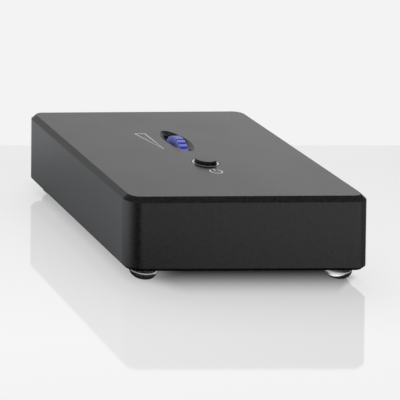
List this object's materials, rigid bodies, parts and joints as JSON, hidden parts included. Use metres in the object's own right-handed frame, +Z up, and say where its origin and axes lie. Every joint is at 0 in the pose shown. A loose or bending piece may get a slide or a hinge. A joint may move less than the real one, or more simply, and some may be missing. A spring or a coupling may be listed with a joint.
{
  "type": "phono preamp",
  "caption": "Small desktop phono preamp in a milled black case on clear dome feet, with a lit volume thumbwheel and a push button on top and jacks behind.",
  "frame": {"origin": "middle of the whole part's footprint, connectors included, on the surface that the feet stand on", "axes": "+X to the right seen from the front, +Y from the front face to the back with the connectors, +Z up"},
  "size_m": [0.1, 0.1306, 0.0391],
  "materials": {
    "case_black": "satin anodised",
    "plate_black": "satin anodised",
    "screw_black": "blackened",
    "foot_clear": "clear gloss",
    "board_green": "solder mask",
    "steel": "satin",
    "nickel": "bright plated",
    "wheel_blue": "translucent, lit",
    "plastic_black": "moulded",
    "lamp_blue": "clear lens",
    "button_black": "polished",
    "ring_bright": "polished",
    "plastic_natural": "moulded",
    "gold_plated": "gold plated",
    "insulator_white": "moulded",
    "insulator_red": "moulded",
    "can_sleeve": "shrunk sleeve",
    "film_red": "dipped"
  },
  "bodies": {
    "case": {"housing": "case_black", "base_plate": "plate_black", "base_screws": "screw_black", "foot_front_left": "foot_clear", "foot_front_right": "foot_clear", "foot_rear_left": "foot_clear", "foot_rear_right": "foot_clear", "circuit_board": "board_green", "board_screws": "steel", "volume_potentiometer": "plastic_black", "wheel_led": "lamp_blue", "button_bezel": "ring_bright", "button_spring": "steel", "power_switch": "plastic_black", "ground_post": "gold_plated", "ground_post_nut": "nickel", "cartridge_switch": "steel", "headphone_jack": "plastic_black", "headphone_ring_nut": "nickel", "power_inlet": "plastic_black", "power_inlet_pin": "nickel", "amplifier_chip_1": "plastic_black", "amplifier_chip_2": "plastic_black", "film_capacitor_1": "film_red", "film_capacitor_2": "film_red", "mute_relay": "plastic_natural", "voltage_regulator": "plastic_black", "can_capacitor_1": "can_sleeve", "can_capacitor_2": "can_sleeve", "can_capacitor_3": "can_sleeve", "can_capacitor_4": "can_sleeve", "input_block": "plastic_black", "input_left_barrel": "gold_plated", "input_left_insulator": "insulator_white", "input_left_contact": "gold_plated", "input_right_barrel": "gold_plated", "input_right_insulator": "insulator_red", "input_right_contact": "gold_plated", "output_block": "plastic_black", "output_left_barrel": "gold_plated", "output_left_insulator": "insulator_white", "output_left_contact": "gold_plated", "output_right_barrel": "gold_plated", "output_right_insulator": "insulator_red", "output_right_contact": "gold_plated"},
    "volume_control": {"volume_wheel": "wheel_blue", "wheel_core": "plastic_black", "volume_shaft": "steel"},
    "button": {"power_button": "button_black", "button_stem": "plastic_natural", "switch_plunger": "plastic_natural"},
    "clamp_washer": {"ground_washer": "nickel"},
    "thumb_nut": {"ground_thumb_nut": "gold_plated"},
    "selector": {"cartridge_slider": "plastic_black"}
  },
  "joints": [
    {"name": "volume_turn", "type": "hinge", "parent": "case", "child": "volume_control", "pos_m": [0.0009, 0.00885, 0.0291], "axis": [1, 0, 0], "range_deg": [-150, 150]},
    {"name": "button_press", "type": "slide", "parent": "case", "child": "button", "axis": [0, 0, -1], "range_m": [0, 0.0014], "stiffness_N_per_m": 300, "springref_m": -0.004, "deforming": ["button_spring"]},
    {"name": "washer_slide", "type": "slide", "parent": "case", "child": "clamp_washer", "axis": [0, 1, 0], "range_m": [0, 0.0028]},
    {"name": "nut_turn", "type": "hinge", "parent": "clamp_washer", "child": "thumb_nut", "pos_m": [-0.01478, 0.05975, 0.0189], "axis": [0, 1, 0], "range_deg": [0, 1440]},
    {"name": "selector_slide", "type": "slide", "parent": "case", "child": "selector", "axis": [1, 0, 0], "range_m": [0, 0.003]}
  ],
  "couplings": [
    {"joint": "nut_turn", "follows": "washer_slide", "rad_per_m": 8976}
  ]
}
